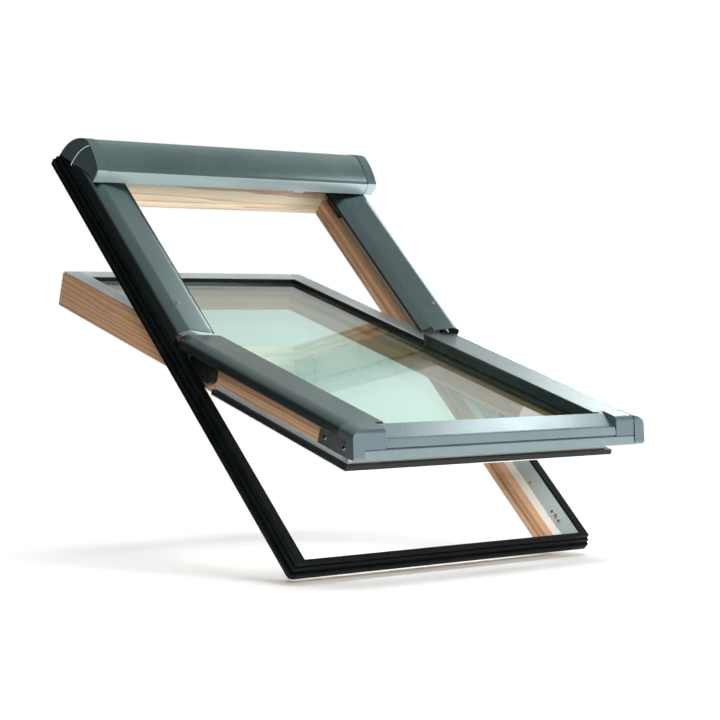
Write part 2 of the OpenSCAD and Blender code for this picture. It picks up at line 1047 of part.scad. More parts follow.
function cap_outline(inset) = concat(
    [[cover_bottom_v, sash_cover_h - inset]],
    arc_through(
        [nose_v + 26, sash_cover_h - inset],
        [nose_v + 17, sash_cover_h - 3.2 - inset],
        [nose_v + 13 + inset, sash_cover_h - 12],
        6
    ),
    [
        [nose_v + inset, drip_z + 5],
        [nose_v + 2 + inset, drip_z + inset],
        [nose_v + 24, drip_z + inset],
        [nose_v + 28, sash_skirt_low + inset],
        [cover_bottom_v, sash_skirt_low + inset]
    ]
);

// The covers' shoulder, carried round the corner caps
module shoulder_run(inset) {
    along_y(nose_v - 1, cover_bottom_v + 2)
        polygon(concat(
            [[cap_in_u - 2, drip_z - 2], [cap_in_u - 2, sash_cover_h - inset]],
            shoulder_line(sash_cover_u, sash_cover_h, inset),
            [[sash_cover_u - inset, drip_z - 2]]
        ));
}

module corner_cap_right() {
    color("#8c9a9f")
        swung()
            difference() {
                intersection() {
                    along_x(cap_in_u, sash_cover_u)
                        polygon(cap_outline(0));
                    shoulder_run(0);
                }
                intersection() {
                    union() {
                        along_x(cap_in_u + cap_t, sash_cover_u - cap_t)
                            polygon(cap_outline(cap_t));
                        block(
                            [cap_in_u - 1, cover_bottom_v - 10, sash_skirt_low - 1],
                            [sash_cover_u - cap_t, cover_bottom_v + 1, sash_cover_h - cap_t]
                        );
                    }
                    shoulder_run(cap_t);
                }
            }
}

module corner_cap_left() {
    left()
        corner_cap_right();
}

function end_outline(inset) = concat(
    [[cover_bottom_v, sash_cover_h - 0.6 - inset]],
    arc_through(
        [nose_v + 26, sash_cover_h - 0.6 - inset],
        [nose_v + 18, sash_cover_h - 4 - inset],
        [nose_v + 14 + inset, sash_cover_h - 13],
        6
    ),
    [
        [nose_v + 6 + inset, split_z + 0.4 + inset],
        [nose_v + 26, split_z + 0.4 + inset],
        [nose_v + 26, sash_skirt_low + inset],
        [cover_bottom_v, foot_z + inset]
    ]
);

module cover_end_right() {
    color("#8c9a9f")
        swung()
            difference() {
                along_x(end_in_u + joint_gap, cap_in_u - joint_gap)
                    polygon(end_outline(0));
                along_x(end_in_u + cap_t, cap_in_u - cap_t)
                    polygon(end_outline(cap_t));
            }
}

module cover_end_left() {
    left()
        cover_end_right();
}

// Aluminium carrier and black seal round the lower half of the sash
seal_start = pivot_v - housing_l - 6;
carrier_h = 8;

module seal_loop(side_w, low, high) {
    both_sides()
        block([sash_u, sash_bottom - side_w, low], [sash_u + side_w, seal_start, high]);
    block([-sash_u, sash_bottom - side_w, low], [sash_u, sash_bottom, high]);
}

module seal_carrier() {
    color("#c9cecd")
        swung()
            difference() {
                seal_loop(4, seal_top, seal_top + carrier_h);
                both_sides()
                    across(sash_u - 1, sash_u + seal_w, lock_v, lock_z, bolt_bore);
            }
}

module sash_seal() {
    color("#131516")
        swung()
            seal_loop(seal_w, seal_low, seal_top);
}

// Sash side of the pivot: black brake housing with a true bore for the pin
module hinge_housing_right() {
    eye_d = pin_d + 12;
    low = pivot_h - 38;
    color("#191b1c")
        swung()
            difference() {
                union() {
                    along_x(sash_u, sash_u + housing_t)
                        polygon([
                            [pivot_v + eye_d / 2, pivot_h],
                            [pivot_v + eye_d / 2, low + 8],
                            [pivot_v + eye_d / 2 - 8, low],
                            [pivot_v - housing_l + 6, low],
                            [pivot_v - housing_l, low + 6],
                            [pivot_v - housing_l, pivot_h - 8],
                            [pivot_v - housing_l + 12, pivot_h + 4],
                            [pivot_v, pivot_h + 4]
                        ]);
                    across(sash_u, sash_u + housing_t, pivot_v, pivot_h, eye_d);
                }
                across(sash_u - 1, sash_u + housing_t + 1, pivot_v, pivot_h, pin_d + 2 * running_gap);
                for (v = [pivot_v - 34, pivot_v - 62])
                    across(sash_u + housing_t - 3, sash_u + housing_t + 1, v, pivot_h - 16, 12);
            }
}

module hinge_housing_left() {
    left()
        hinge_housing_right();
}

// Steel face plates of the corner locks
module lock_plates() {
    low = seal_top + carrier_h + 0.4;
    color("#aab0b2")
        swung()
            both_sides()
                difference() {
                    block(
                        [sash_u, sash_bottom, low],
                        [sash_u + lock_plate_t, sash_bottom + lock_plate_l, low + 26]
                    );
                    across(sash_u - 1, sash_u + lock_plate_t + 1, lock_v, lock_z, bolt_bore);
                    for (v = [lock_v - 32, lock_v + 26])
                        across(sash_u - 1, sash_u + lock_plate_t + 1, v, lock_z + 6, 5);
                }
}

// Gearbox in the bottom rail, bored for the bolts and the handle's spindle
spindle_d = 9;

module lock_gearbox() {
    color("#9ea3a4")
        swung()
            difference() {
                block([-gear_u, lock_v - gear_v, -sash_in], [gear_u, lock_v + gear_v, gear_z]);
                across(-gear_u - 1, gear_u + 1, lock_v, lock_z, bolt_d + 2 * running_gap);
                translate([0, lock_v, -sash_in - 1])
                    cylinder(d = spindle_d + 2 * running_gap, h = sash_in + lock_z - bolt_d);
            }
}

rosette_u = gear_u + 3;
rosette_v = 11;

module handle_rosette() {
    color("#b9bdbd")
        swung()
            difference() {
                union() {
                    block(
                        [rosette_v - rosette_u, lock_v - rosette_v, -sash_in - rosette_t],
                        [rosette_u - rosette_v, lock_v + rosette_v, -sash_in]
                    );
                    for (u = [rosette_v - rosette_u, rosette_u - rosette_v])
                        translate([u, lock_v, -sash_in - rosette_t])
                            cylinder(r = rosette_v, h = rosette_t);
                }
                translate([0, lock_v, -sash_in - rosette_t - 1])
                    cylinder(d = spindle_d + 2 * running_gap, h = rosette_t + 2);
            }
}

// Handle lever with its spindle
boss_d = 18;
neck = 6;
grip_t = 9;

module handle_lever() {
    face = -sash_in - rosette_t - 0.3;
    color("#c4c8c8")
        swung()
            translate([0, lock_v, 0]) {
                translate([0, 0, face - neck])
                    cylinder(d = boss_d, h = neck);
                translate([0, 0, face - eps])
                    cylinder(d = spindle_d, h = sash_in + rosette_t - bolt_d);
                difference() {
                    union() {
                        translate([0, 0, face - neck - grip_t])
                            cylinder(d = boss_d, h = grip_t + eps);
                        block(
                            [0, -boss_d / 2 + 2, face - neck - grip_t],
                            [grip_l, boss_d / 2 - 2, face - neck]
                        );
                        translate([grip_l, 0, face - neck - grip_t])
                            cylinder(d = boss_d - 4, h = grip_t);
                    }
                    translate([grip_l * 0.55, 0, face - neck - grip_t - 26])
                        rotate([90, 0, 0])
                            cylinder(r = 29, h = boss_d, center = true);
                }
            }
}

// Shoot bolts: round rods that run from the gearbox through the stile
module lock_bolt_right() {
    color("#cdd1d1")
        swung()
            across(bolt_in, sash_u + lock_plate_t + 0.5, lock_v, lock_z, bolt_d);
}

module lock_bolt_left() {
    left()
        lock_bolt_right();
}

frame_stile_left();
frame_stile_right();
frame_head();
frame_sill();
rail_left();
rail_right();
rail_bottom();
rail_top();
rail_corners();
liner_left();
liner_right();
liner_sill();
base_strips();
frame_cover_left();
frame_cover_right();
frame_cover_seals();
frame_cover_clips();
cover_screws();
hood();
hood_cap_left();
hood_cap_right();
hood_trims();
hood_clips();
hinge_plate_left();
hinge_plate_right();
keepers();
head_blocks();
sash_stile_left();
sash_stile_right();
sash_top_rail();
sash_bottom_rail();
outer_pane();
spacer();
inner_pane();
glazing_tape();
glazing_gasket();
glazing_bead_left();
glazing_bead_right();
glazing_bead_top();
sash_cover_left();
sash_cover_right();
sash_cover_clips();
cover_seals();
bottom_cover();
drip_strip();
corner_cap_left();
corner_cap_right();
cover_end_left();
cover_end_right();
seal_carrier();
sash_seal();
hinge_housing_left();
hinge_housing_right();
lock_plates();
lock_gearbox();
handle_rosette();
handle_lever();
lock_bolt_left();
lock_bolt_right();
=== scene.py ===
import json
import math

import bmesh
import bpy
from mathutils import Euler, Matrix, Vector


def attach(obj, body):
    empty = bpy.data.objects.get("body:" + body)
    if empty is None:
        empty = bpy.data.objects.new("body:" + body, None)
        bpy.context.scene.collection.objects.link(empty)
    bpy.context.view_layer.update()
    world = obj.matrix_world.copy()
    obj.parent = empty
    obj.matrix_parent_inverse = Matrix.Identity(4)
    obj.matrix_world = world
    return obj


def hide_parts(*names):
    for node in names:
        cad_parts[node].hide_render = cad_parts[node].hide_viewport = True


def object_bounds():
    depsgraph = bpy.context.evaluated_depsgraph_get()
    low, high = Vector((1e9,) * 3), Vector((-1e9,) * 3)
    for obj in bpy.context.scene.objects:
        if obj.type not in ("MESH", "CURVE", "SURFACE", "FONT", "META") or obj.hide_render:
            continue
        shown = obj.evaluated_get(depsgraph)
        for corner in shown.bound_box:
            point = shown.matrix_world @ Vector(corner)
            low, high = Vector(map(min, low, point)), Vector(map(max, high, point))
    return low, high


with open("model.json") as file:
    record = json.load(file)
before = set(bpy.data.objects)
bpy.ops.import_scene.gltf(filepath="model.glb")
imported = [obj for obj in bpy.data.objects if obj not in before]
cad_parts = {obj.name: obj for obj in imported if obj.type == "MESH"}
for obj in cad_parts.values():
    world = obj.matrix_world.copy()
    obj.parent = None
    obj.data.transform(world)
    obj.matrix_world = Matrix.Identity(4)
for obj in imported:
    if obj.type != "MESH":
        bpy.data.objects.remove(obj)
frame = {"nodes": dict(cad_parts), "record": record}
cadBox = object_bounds()
nodes = frame["nodes"]
bodyOf = {name: body for body, names in frame["record"]["behaviour"]["bodies"].items() for name in names}
scene = bpy.context.scene
scene.view_settings.view_transform = "Standard"  # hex colours show as they are written
print("frame loaded:", len(nodes), "nodes")

# the window lies in a 45 degree roof, and the sash is 27 degrees open at rest
window = {"pitch": 45.0, "open": 27.0, "pivot": (0.0, -0.0364, 0.032)}
roofTurn = Matrix.Rotation(math.radians(window["pitch"]), 4, "X")
pivotShift = Matrix.Translation(window["pivot"])
sashTurn = roofTurn @ pivotShift @ Matrix.Rotation(-math.radians(window["open"]), 4, "X") @ pivotShift.inverted()


def hexToLinear(text):
    values = [int(text[i:i + 2], 16) / 255 for i in (1, 3, 5)]
    return [v / 12.92 if v <= 0.04045 else ((v + 0.055) / 1.055) ** 2.4 for v in values] + [1.0]


def addNode(tree, kind, settings=None, inputs=None):
    node = tree.nodes.new(kind)
    for key, value in (settings or {}).items():
        if key == "stops":
            while len(node.color_ramp.elements) < len(value):
                node.color_ramp.elements.new(0.5)
            for element, (position, colour) in zip(node.color_ramp.elements, value):
                element.position, element.color = position, hexToLinear(colour)
        else:
            setattr(node, key, value)
    for key, value in (inputs or {}).items():
        if isinstance(value, bpy.types.NodeSocket):
            tree.links.new(value, node.inputs[key])
        else:
            node.inputs[key].default_value = value
    return node


def startFinish(name, turn=0.0, **sockets):
    finish = bpy.data.materials.new(name)
    finish.use_nodes = True
    tree = finish.node_tree
    shader = tree.nodes["Principled BSDF"]
    for key, value in sockets.items():
        shader.inputs[key.replace("_", " ")].default_value = value
    place = addNode(tree, "ShaderNodeTexCoord").outputs["Object"]
    if turn:  # lays the pattern's y along the slope
        place = addNode(tree, "ShaderNodeMapping", inputs={
            "Vector": place, "Rotation": (-math.radians(turn), 0, 0)}).outputs["Vector"]
    return finish, tree, shader, place


def dress(finish, *names):
    for name in names:
        nodes[name].data.materials.clear()
        nodes[name].data.materials.append(finish)


def easeEdges(finish, width, *names, segments=2, second=None):
    for name in names:  # a merged copy of the solid with its edges rounded, which stands in the solid's place
        shape = bmesh.new()
        shape.from_mesh(nodes[name].data)
        bmesh.ops.remove_doubles(shape, verts=shape.verts, dist=1e-6)
        bmesh.ops.dissolve_limit(shape, angle_limit=math.radians(0.5), verts=shape.verts, edges=shape.edges)
        if second:  # the same sheet in a second tone on one side of a plane
            bmesh.ops.bisect_plane(shape, geom=shape.verts[:] + shape.edges[:] + shape.faces[:], dist=1e-6,
                                   plane_co=second["at"], plane_no=second["side"])
        for face in shape.faces:
            face.smooth = True
            if second and (face.calc_center_median() - second["at"]).dot(second["side"]) < 0:
                face.material_index = 1
        words = name.split("_")
        mesh = bpy.data.meshes.new(words[0] + "".join(word.capitalize() for word in words[1:]))
        shape.to_mesh(mesh)
        shape.free()
        mesh.materials.append(finish)
        if second:
            mesh.materials.append(second["finish"])
        piece = bpy.data.objects.new(mesh.name, mesh)
        scene.collection.objects.link(piece)
        rounding = piece.modifiers.new("easedEdge", "BEVEL")
        rounding.width, rounding.segments, rounding.profile = width, segments, 0.5
        rounding.limit_method, rounding.angle_limit = "ANGLE", math.radians(26)
        rounding.use_clamp_overlap, rounding.harden_normals = True, True
        even = piece.modifiers.new("evenShade", "WEIGHTED_NORMAL")
        even.weight, even.keep_sharp = 60, True
        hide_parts(name)
        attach(piece, bodyOf[name])


# Pine under clear lacquer: early wood pale, late wood in brown lines along the grain, satin shine
pine = {
    "ringSpacing": 0.0056, "fibreWidth": 0.0009, "pithX": 0.09, "pithZ": -0.13,
    "grainStretch": 0.045, "swayScale": 14.0, "swayReach": 0.03, "patchScale": 9.0,
    "early": "#c9a283", "middle": "#bd9271", "late": "#a17957", "roughness": 0.42, "bump": 0.0004, "arris": 0.0012,
}


def pineFinish(name, turn, alongX, early=pine["early"], middle=pine["middle"], late=pine["late"]):
    finish, tree, shader, place = startFinish(name, turn, Roughness=pine["roughness"], IOR=1.5)
    stretch = (pine["grainStretch"], 1.0, 1.0) if alongX else (1.0, pine["grainStretch"], 1.0)
    grain = addNode(tree, "ShaderNodeMapping", inputs={
        "Vector": place, "Scale": stretch, "Location": (pine["pithX"], 0.02, pine["pithZ"])}).outputs["Vector"]
    sway = addNode(tree, "ShaderNodeTexNoise", inputs={
        "Vector": grain, "Scale": pine["swayScale"], "Detail": 3.0})
    swayed = addNode(tree, "ShaderNodeVectorMath", {"operation": "MULTIPLY_ADD"}, {
        0: sway.outputs["Color"], 1: (pine["swayReach"],) * 3, 2: grain}).outputs["Vector"]
    rings = addNode(tree, "ShaderNodeTexWave", {
        "wave_type": "RINGS", "rings_direction": "X" if alongX else "Y", "wave_profile": "SAW"}, {
        "Vector": swayed, "Scale": 0.314 / pine["ringSpacing"], "Distortion": 3.2, "Detail": 2.0,
        "Detail Scale": 1.5})
    fibre = addNode(tree, "ShaderNodeTexNoise", inputs={
        "Vector": grain, "Scale": 1 / pine["fibreWidth"], "Detail": 2.0})
    patch = addNode(tree, "ShaderNodeTexNoise", inputs={
        "Vector": grain, "Scale": pine["patchScale"], "Detail": 1.0})
    colour = addNode(tree, "ShaderNodeValToRGB", {"stops": [
        (0.0, early), (0.62, middle), (0.9, late), (1.0, early)]}, {"Fac": rings.outputs["Fac"]})
    streaked = addNode(tree, "ShaderNodeMix", {"data_type": "RGBA", "blend_type": "SOFT_LIGHT"}, {
        "Factor": 0.55, 6: colour.outputs["Color"], 7: fibre.outputs["Color"]})
    patched = addNode(tree, "ShaderNodeMix", {"data_type": "RGBA", "blend_type": "OVERLAY"}, {
        "Factor": 0.35, 6: streaked.outputs[2], 7: patch.outputs["Fac"]})
    tree.links.new(patched.outputs[2], shader.inputs["Base Color"])
    lift = addNode(tree, "ShaderNodeBump", inputs={
        "Strength": 0.25, "Distance": pine["bump"], "Height": fibre.outputs["Fac"]})
    tree.links.new(lift.outputs["Normal"], shader.inputs["Normal"])
    return finish


framePine = pineFinish("lacqueredPineStile", window["pitch"], False)
# Head and sill: the same pine in paler colours, painted light standing in for the bright light on the head
headLitPine = pineFinish("lacqueredPineHeadPaintedLight", window["pitch"], True, "#f6e8d4", "#ecd7bc", "#d4b18e")
sashPine = pineFinish("lacqueredPineSashStile", window["pitch"] - window["open"], False)
sashRailPine = pineFinish("lacqueredPineSashRail", window["pitch"] - window["open"], True)
easeEdges(framePine, pine["arris"], "frame_stile_left", "frame_stile_right")
easeEdges(headLitPine, pine["arris"], "frame_head", "frame_sill")
easeEdges(sashPine, pine["arris"], "sash_stile_left", "sash_stile_right")
easeEdges(sashRailPine, pine["arris"], "sash_top_rail", "sash_bottom_rail")

# Coil-coated aluminium sheet: grey satin lacquer with a fine metallic grain, drawn coarse enough to show
sheetPaint = {
    "grain": 0.0032, "cloud": 0.12, "dark": "#6f8185", "light": "#7d8f8a", "roughness": 0.3, "fold": 0.00055,
    "lipLine": 0.4372,  # where the painted light on the hood's lip starts, along the slope
}


def sheetFinish(name, dark, light, roughness, metallic=0.97):
    finish, tree, shader, place = startFinish(name, Metallic=metallic, Coat_Weight=0.08, Coat_Roughness=0.25)
    grain = addNode(tree, "ShaderNodeTexNoise", inputs={
        "Vector": place, "Scale": 1 / sheetPaint["grain"], "Detail": 2.0})
    cloud = addNode(tree, "ShaderNodeTexNoise", inputs={
        "Vector": place, "Scale": 1 / sheetPaint["cloud"], "Detail": 3.0})
    both = addNode(tree, "ShaderNodeMix", {"data_type": "FLOAT"}, {
        "Factor": 0.55, 2: grain.outputs["Fac"], 3: cloud.outputs["Fac"]})
    colour = addNode(tree, "ShaderNodeValToRGB", {"stops": [(0.34, dark), (0.66, light)]}, {"Fac": both.outputs[0]})
    tree.links.new(colour.outputs["Color"], shader.inputs["Base Color"])
    shine = addNode(tree, "ShaderNodeMapRange", inputs={
        "Value": cloud.outputs["Fac"], "From Min": 0.3, "From Max": 0.7,
        "To Min": roughness - 0.04, "To Max": roughness + 0.05})
    tree.links.new(shine.outputs["Result"], shader.inputs["Roughness"])
    lift = addNode(tree, "ShaderNodeBump", inputs={
        "Strength": 0.05, "Distance": 0.0001, "Height": grain.outputs["Fac"]})
    tree.links.new(lift.outputs["Normal"], shader.inputs["Normal"])
    return finish


coverPaint = sheetFinish("satinGreyCoatedAluminium", sheetPaint["dark"], sheetPaint["light"], sheetPaint["roughness"])
hoodPaint = sheetFinish("satinGreyCoatedHood", "#859a9d", "#95a9a5", sheetPaint["roughness"])
# The bottom cover and drip strip are the same grey coated sheet as the covers; their paler tone is painted light
# where they face the front
frontLitPaint = sheetFinish("satinGreyCoatedAluminiumPaintedLight", "#97a7aa", "#a6b5b8", 0.3)
linerPaint = sheetFinish("coatedLinerSheet", "#b4c6c6", "#c3d3d2", 0.42, metallic=0.3)
# The hood's lip is the same coated sheet as the hood; its paler tone is painted light where the lip faces down the
# slope
litLipPaint = sheetFinish("coatedHoodLipPaintedLight", "#b8c8cb", "#c4d2d4", 0.4, metallic=0.6)
hoodLipPaintedLight = {
    "at": roofTurn @ Vector((0, sheetPaint["lipLine"], 0.0)),
    "side": (roofTurn @ Vector((0, 1, 0))).normalized(), "finish": litLipPaint,
}
easeEdges(coverPaint, sheetPaint["fold"], "frame_cover_left", "frame_cover_right",
          "sash_cover_left", "sash_cover_right")
easeEdges(hoodPaint, sheetPaint["fold"], "hood", second=hoodLipPaintedLight)
easeEdges(frontLitPaint, sheetPaint["fold"], "bottom_cover", "drip_strip")
dress(linerPaint, "liner_left", "liner_right", "liner_sill")

# Moulded plastics: caps, clips, housings and strips, with a fine spark-eroded skin
mouldedCap = {"grain": 0.0016, "bump": 0.0003, "edge": 0.0009}


def mouldedFinish(name, dark, light, roughness, grain=mouldedCap["grain"]):
    finish, tree, shader, place = startFinish(name, IOR=1.49, Roughness=roughness)
    skin = addNode(tree, "ShaderNodeTexNoise", inputs={"Vector": place, "Scale": 1 / grain, "Detail": 2.0})
    colour = addNode(tree, "ShaderNodeValToRGB", {"stops": [(0.3, dark), (0.7, light)]}, {"Fac": skin.outputs["Fac"]})
    tree.links.new(colour.outputs["Color"], shader.inputs["Base Color"])
    lift = addNode(tree, "ShaderNodeBump", inputs={
        "Strength": 0.2, "Distance": mouldedCap["bump"], "Height": skin.outputs["Fac"]})
    tree.links.new(lift.outputs["Normal"], shader.inputs["Normal"])
    return finish


capPaint = sheetFinish("metallicPaintedAsaCap", "#78898e", "#86959a", 0.34, metallic=0.9)  # sprayed like the sheet
# The hood caps are grey like the hood; this dark tone is painted shade for their left-facing sides
hoodCapShadedPlastic = mouldedFinish("mouldedAsaPaintedShade", "#364242", "#425050", 0.38)
clipNylon = mouldedFinish("blackNylonClip", "#161819", "#212425", 0.5)
housingNylon = mouldedFinish("blackGlassFilledNylon", "#101112", "#1b1d1e", 0.38, grain=0.0024)
stripPvc = mouldedFinish("whiteExtrudedPvc", "#e9ebe8", "#f3f4f2", 0.4)
# the hood trims' pale colour is a painted highlight along the edge where each hood cap meets the side cover
trimHighlightPvc = mouldedFinish("extrudedTrimPaintedHighlight", "#dde2e2", "#eef1f1", 0.3)
easeEdges(capPaint, mouldedCap["edge"], "corner_cap_left", "corner_cap_right", "cover_end_left", "cover_end_right")
# the lip part of each hood cap takes the same painted light
easeEdges(hoodCapShadedPlastic, mouldedCap["edge"], "hood_cap_left", "hood_cap_right", second=hoodLipPaintedLight)
dress(clipNylon, "frame_cover_clips", "sash_cover_clips")
easeEdges(housingNylon, mouldedCap["edge"], "hinge_housing_left", "hinge_housing_right", "head_blocks")
dress(stripPvc, "base_strips")
dress(trimHighlightPvc, "hood_trims")

# Black powder coat on the rails: near black with a cold shine and a slight orange peel
railCoat = {
    "peel": 0.004, "peelDepth": 0.0006, "dust": 24.0, "dark": "#060809", "light": "#0d1113",
    "roughness": 0.42, "edge": 0.0006,
}


def railFinish(name, roughness):
    finish, tree, shader, place = startFinish(name, IOR=1.5, Specular_IOR_Level=0.12)
    peel = addNode(tree, "ShaderNodeTexNoise", inputs={"Vector": place, "Scale": 1 / railCoat["peel"], "Detail": 2.0})
    dust = addNode(tree, "ShaderNodeTexNoise", inputs={"Vector": place, "Scale": railCoat["dust"], "Detail": 4.0})
    colour = addNode(tree, "ShaderNodeValToRGB", {"stops": [(0.35, railCoat["dark"]), (0.75, railCoat["light"])]}, {
        "Fac": dust.outputs["Fac"]})
    tree.links.new(colour.outputs["Color"], shader.inputs["Base Color"])
    shine = addNode(tree, "ShaderNodeMapRange", inputs={
        "Value": dust.outputs["Fac"], "From Min": 0.3, "From Max": 0.7,
        "To Min": roughness - 0.06, "To Max": roughness + 0.12})
    tree.links.new(shine.outputs["Result"], shader.inputs["Roughness"])
    lift = addNode(tree, "ShaderNodeBump", inputs={
        "Strength": 0.18, "Distance": railCoat["peelDepth"], "Height": peel.outputs["Fac"]})
    tree.links.new(lift.outputs["Normal"], shader.inputs["Normal"])
    return finish


railPaint = railFinish("blackPowderCoatedRail", railCoat["roughness"])
cornerAbs = railFinish("blackMouldedAbsCorner", 0.3)
easeEdges(railPaint, railCoat["edge"], "rail_left", "rail_right", "rail_bottom", "rail_top")
easeEdges(cornerAbs, railCoat["edge"], "rail_corners")

# EPDM rubber: matt black, a faint bloom that greys it in patches
seal = {
    "bloom": 60.0, "dark": "#08090a", "light": "#1b1d1e", "edge": 0.0006,
    "lipBloom": 90.0, "lipDark": "#d6dada", "lipLight": "#e8ebeb", "lipLine": -0.0229,
}
sealRubber, tree, shader, place = startFinish("blackEpdmRubber", IOR=1.5)
bloom = addNode(tree, "ShaderNodeTexNoise", inputs={"Vector": place, "Scale": seal["bloom"], "Detail": 4.0})
colour = addNode(tree, "ShaderNodeValToRGB", {"stops": [(0.35, seal["dark"]), (0.8, seal["light"])]}, {
    "Fac": bloom.outputs["Fac"]})
tree.links.new(colour.outputs["Color"], shader.inputs["Base Color"])
shine = addNode(tree, "ShaderNodeMapRange", inputs={"Value": bloom.outputs["Fac"], "To Min": 0.42, "To Max": 0.68})
tree.links.new(shine.outputs["Result"], shader.inputs["Roughness"])
dress(sealRubber, "frame_cover_seals", "glazing_tape", "glazing_gasket", "cover_seals")
paleLip, tree, shader, place = startFinish("greyCoextrudedSealLip", IOR=1.5, Roughness=0.55)
bloom = addNode(tree, "ShaderNodeTexNoise", inputs={"Vector": place, "Scale": seal["lipBloom"], "Detail": 3.0})
colour = addNode(tree, "ShaderNodeValToRGB", {"stops": [(0.3, seal["lipDark"]), (0.7, seal["lipLight"])]}, {
    "Fac": bloom.outputs["Fac"]})
tree.links.new(colour.outputs["Color"], shader.inputs["Base Color"])
sealLip = {
    "at": sashTurn @ Vector((0, 0, seal["lipLine"])),
    "side": (sashTurn.to_3x3() @ Vector((0, 0, 1))).normalized(), "finish": paleLip,
}
easeEdges(sealRubber, seal["edge"], "sash_seal", second=sealLip)

# Zinc-plated and stainless steel: drawn lines and a soft mottled shine
steelLook = {
    "line": 0.0006, "spangle": 180.0, "dark": "#a9aeb0", "light": "#c9cdce", "roughness": 0.3,
    "edge": 0.0005, "clipEdge": 0.0003, "rosetteEdge": 0.0012, "leverEdge": 0.0026,
}


def steelFinish(name, dark, light, roughness):
    finish, tree, shader, place = startFinish(name, Metallic=1.0)
    drawn = addNode(tree, "ShaderNodeMapping", inputs={"Vector": place, "Scale": (0.04, 1.0, 1.0)}).outputs["Vector"]
    lines = addNode(tree, "ShaderNodeTexNoise", inputs={
        "Vector": drawn, "Scale": 1 / steelLook["line"], "Detail": 2.0})
    spangle = addNode(tree, "ShaderNodeTexVoronoi", inputs={"Vector": place, "Scale": steelLook["spangle"]})
    both = addNode(tree, "ShaderNodeMix", {"data_type": "FLOAT"}, {
        "Factor": 0.4, 2: lines.outputs["Fac"], 3: spangle.outputs["Distance"]})
    colour = addNode(tree, "ShaderNodeValToRGB", {"stops": [(0.3, dark), (0.7, light)]}, {"Fac": both.outputs[0]})
    tree.links.new(colour.outputs["Color"], shader.inputs["Base Color"])
    shine = addNode(tree, "ShaderNodeMapRange", inputs={
        "Value": both.outputs[0], "To Min": roughness - 0.06, "To Max": roughness + 0.12})
    tree.links.new(shine.outputs["Result"], shader.inputs["Roughness"])
    return finish


zincSteel = steelFinish("zincPlatedSteel", steelLook["dark"], steelLook["light"], steelLook["roughness"])
screwSteel = steelFinish("stainlessSteelScrew", "#b9bdbe", "#d6d9da", 0.24)
handleAlloy = steelFinish("satinAnodisedHandle", "#b4b8b8", "#cfd3d3", 0.34)
spacerAlloy = steelFinish("millFinishSpacer", "#9ba1a1", "#b4baba", 0.32)
easeEdges(zincSteel, steelLook["edge"], "hinge_plate_left", "hinge_plate_right", "lock_plates", "lock_gearbox")
easeEdges(linerPaint, steelLook["edge"], "keepers")
dress(zincSteel, "lock_bolt_left", "lock_bolt_right")
easeEdges(screwSteel, steelLook["clipEdge"], "hood_clips")
easeEdges(handleAlloy, steelLook["rosetteEdge"], "handle_rosette")
easeEdges(handleAlloy, steelLook["leverEdge"], "handle_lever", segments=4)
dress(spacerAlloy, "spacer")

# Anodised aluminium bead: the extruded ribs are in the solid, so only faint draw lines and a satin shine are added
bead = {"line": 0.0024, "dark": "#bcc4c5", "light": "#d6dcdc", "roughness": 0.42}


def beadFinish(name, turn, stretch):
    finish, tree, shader, place = startFinish(name, turn, Metallic=0.45)
    along = addNode(tree, "ShaderNodeMapping", inputs={"Vector": place, "Scale": stretch}).outputs["Vector"]
    drawn = addNode(tree, "ShaderNodeTexNoise", inputs={"Vector": along, "Scale": 1 / bead["line"], "Detail": 2.0})
    colour = addNode(tree, "ShaderNodeValToRGB", {"stops": [(0.3, bead["dark"]), (0.7, bead["light"])]}, {
        "Fac": drawn.outputs["Fac"]})
    tree.links.new(colour.outputs["Color"], shader.inputs["Base Color"])
    shine = addNode(tree, "ShaderNodeMapRange", inputs={
        "Value": drawn.outputs["Fac"], "To Min": bead["roughness"] - 0.08, "To Max": bead["roughness"] + 0.08})
    tree.links.new(shine.outputs["Result"], shader.inputs["Roughness"])
    return finish


sideBead = beadFinish("anodisedSideBead", window["pitch"] - window["open"], (1.0, 0.03, 1.0))
topBead = beadFinish("anodisedTopBead", window["pitch"] - window["open"], (0.03, 1.0, 1.0))
dress(sideBead, "glazing_bead_left", "glazing_bead_right", "seal_carrier")
dress(topBead, "glazing_bead_top")

# Float glass: clear, with the green of its iron at a slant and on the edges
paneGlass, tree, shader, place = startFinish(
    "clearFloatGlass", Base_Color=hexToLinear("#eaf9f2"), Roughness=0.0, IOR=1.52, Transmission_Weight=1.0)
dress(paneGlass, "outer_pane", "inner_pane")
for name in ("outer_pane", "inner_pane"):
    nodes[name].visible_shadow = False  # clear glass lets the lamps reach the timber behind it
print("finishes on", len(nodes), "nodes")

# Screws: pan heads with a six-lobed recess, turned on one profile and sunk with a second ring
screwRows = [
    {"name": "coverScrewHeads", "turn": roofTurn, "stands": ["cover_screws"], "body": "frame", "slot": "screw_steel",
     "radius": 0.0045, "height": 0.0018, "at": [((s * 0.335, 0.072, 0.0702), (-s * 0.15, 0, 0.99)) for s in (-1, 1)]},
    {"name": "hingePlateScrews", "turn": roofTurn, "stands": [], "body": "frame", "slot": "screw_steel",
     "radius": 0.0052, "height": 0.0022,
     "at": [((s * 0.3475, v, 0.018), (-s, 0, 0)) for s in (-1, 1) for v in (-0.0764, -0.1164)]},
    {"name": "keeperScrews", "turn": roofTurn, "stands": [], "body": "frame", "slot": "screw_steel",
     "radius": 0.0036, "height": 0.0013,
     "at": [((s * 0.349, v, 0.004), (-s, 0, 0)) for s in (-1, 1) for v in (-0.515, -0.489)]},
    {"name": "lockPlateScrews", "turn": sashTurn, "stands": [], "body": "sash", "slot": "screw_steel",
     "radius": 0.0043, "height": 0.0014,
     "at": [((s * 0.325, v, 0.010), (s, 0, 0)) for s in (-1, 1) for v in (-0.534, -0.476)]},
    {"name": "rosetteScrews", "turn": sashTurn, "stands": [], "body": "sash", "slot": "screw_steel",
     "radius": 0.0042, "height": 0.0013, "at": [((s * 0.049, -0.502, -0.031), (0, 0, -1)) for s in (-1, 1)]},
]
